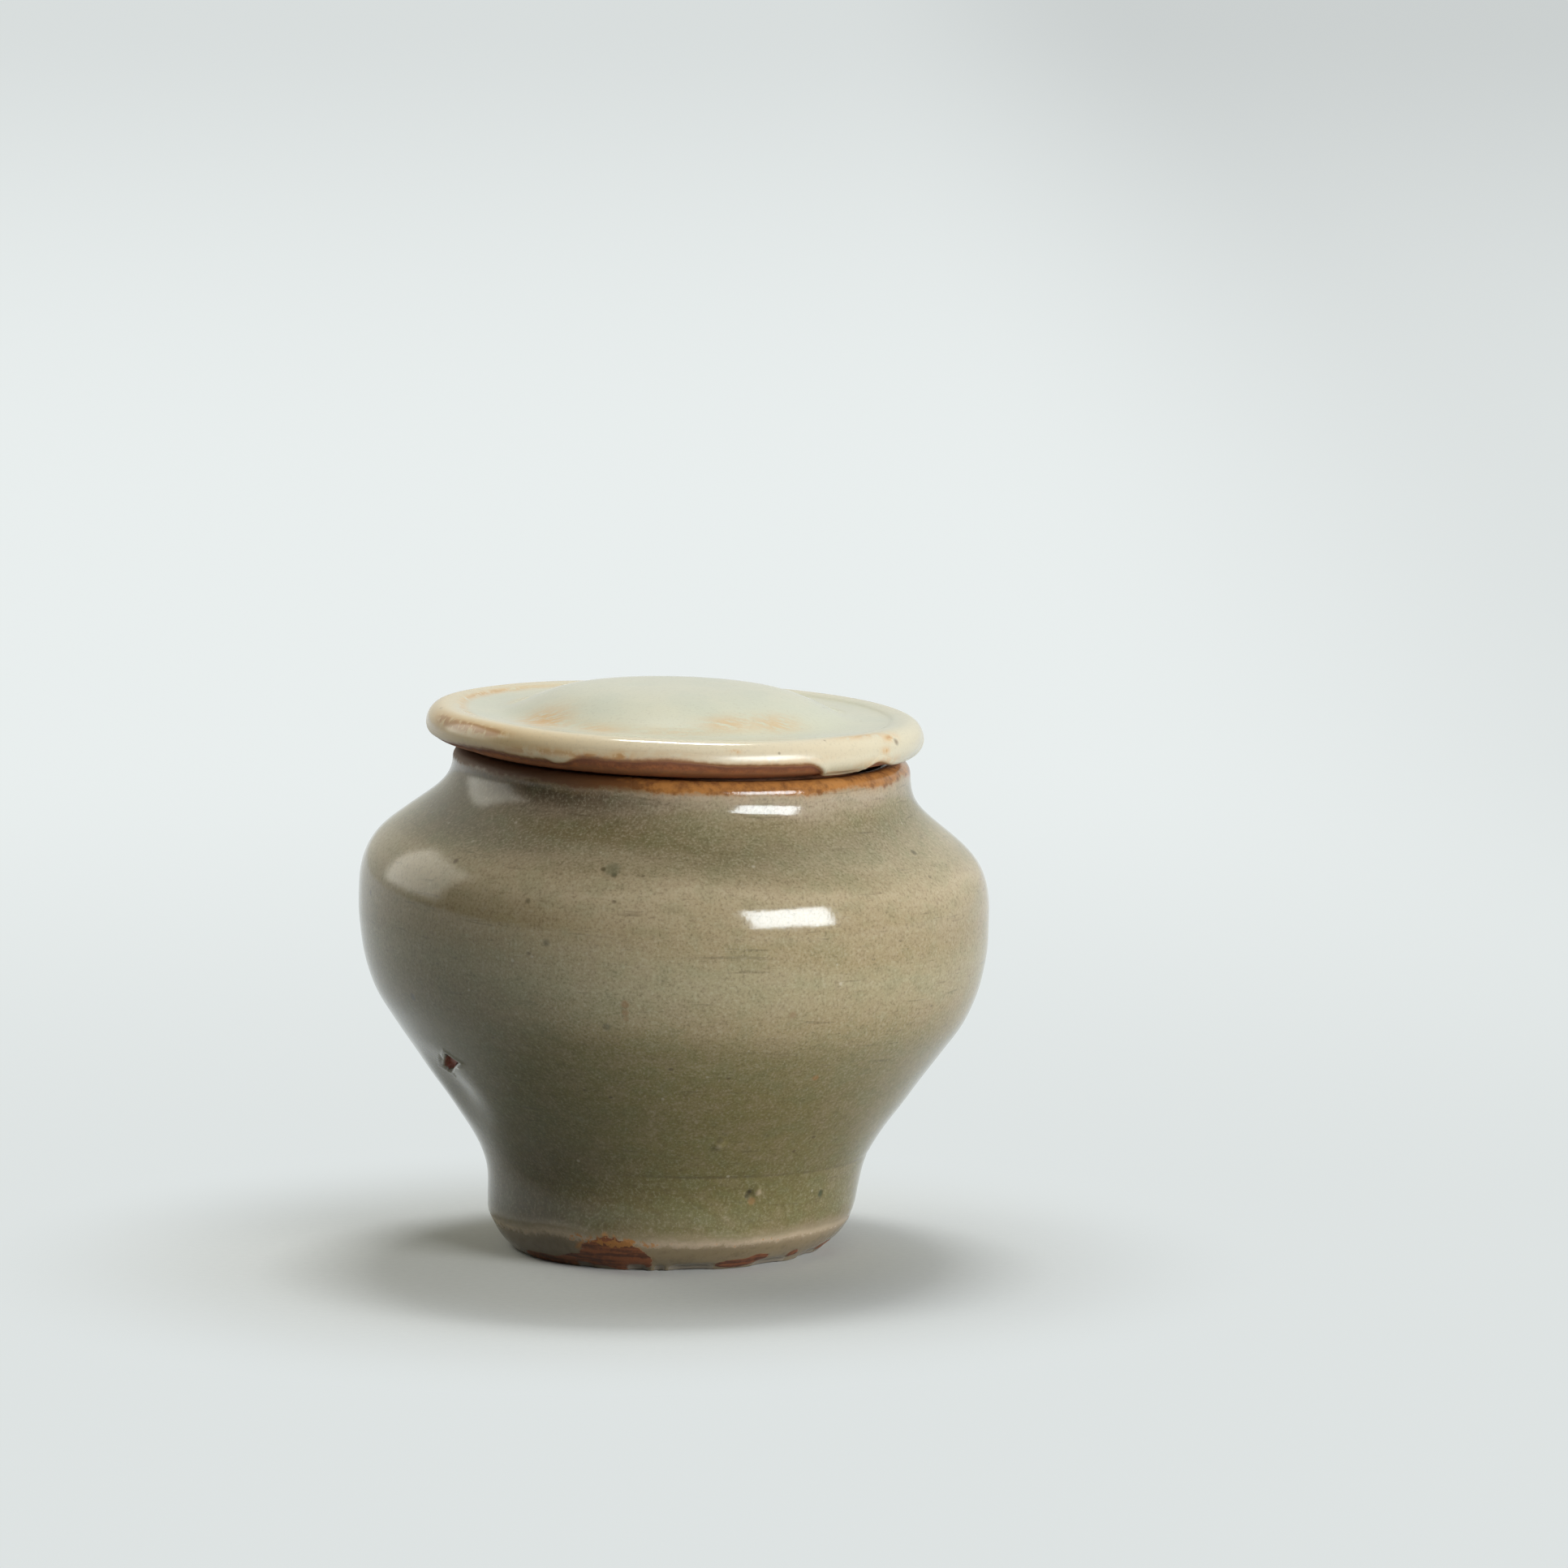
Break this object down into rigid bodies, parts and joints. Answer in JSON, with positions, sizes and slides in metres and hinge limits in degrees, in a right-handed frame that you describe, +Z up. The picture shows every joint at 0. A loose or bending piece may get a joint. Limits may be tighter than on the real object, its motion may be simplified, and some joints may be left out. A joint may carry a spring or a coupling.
{
  "type": "celadon jar",
  "caption": "Small round-bodied celadon jar with a narrow foot, a short neck and a loose domed lid whose flange drops into the mouth.",
  "frame": {"origin": "on the table, under the middle of the belly, which is the middle of the object's box", "axes": "+Z up, +X to the right as seen from the front, +Y away from the viewer"},
  "size_m": [0.0998, 0.0998, 0.0894],
  "materials": {
    "celadon_glaze": "glossy olive grey-green celadon over grey stoneware, fine mottle and iron specks, rust-brown bare clay at the rim and on the foot",
    "pale_celadon_glaze": "glossy pale grey-green celadon with brown stains, rust-brown bare clay underneath"
  },
  "bodies": {
    "jar": {"jar_body": "celadon_glaze"},
    "lid": {"lid": "pale_celadon_glaze"}
  },
  "joints": [
    {"name": "lid_lift", "type": "slide", "parent": "jar", "child": "lid", "axis": [0.0366, 0, 0.9993], "range_m": [0, 0.06]}
  ]
}
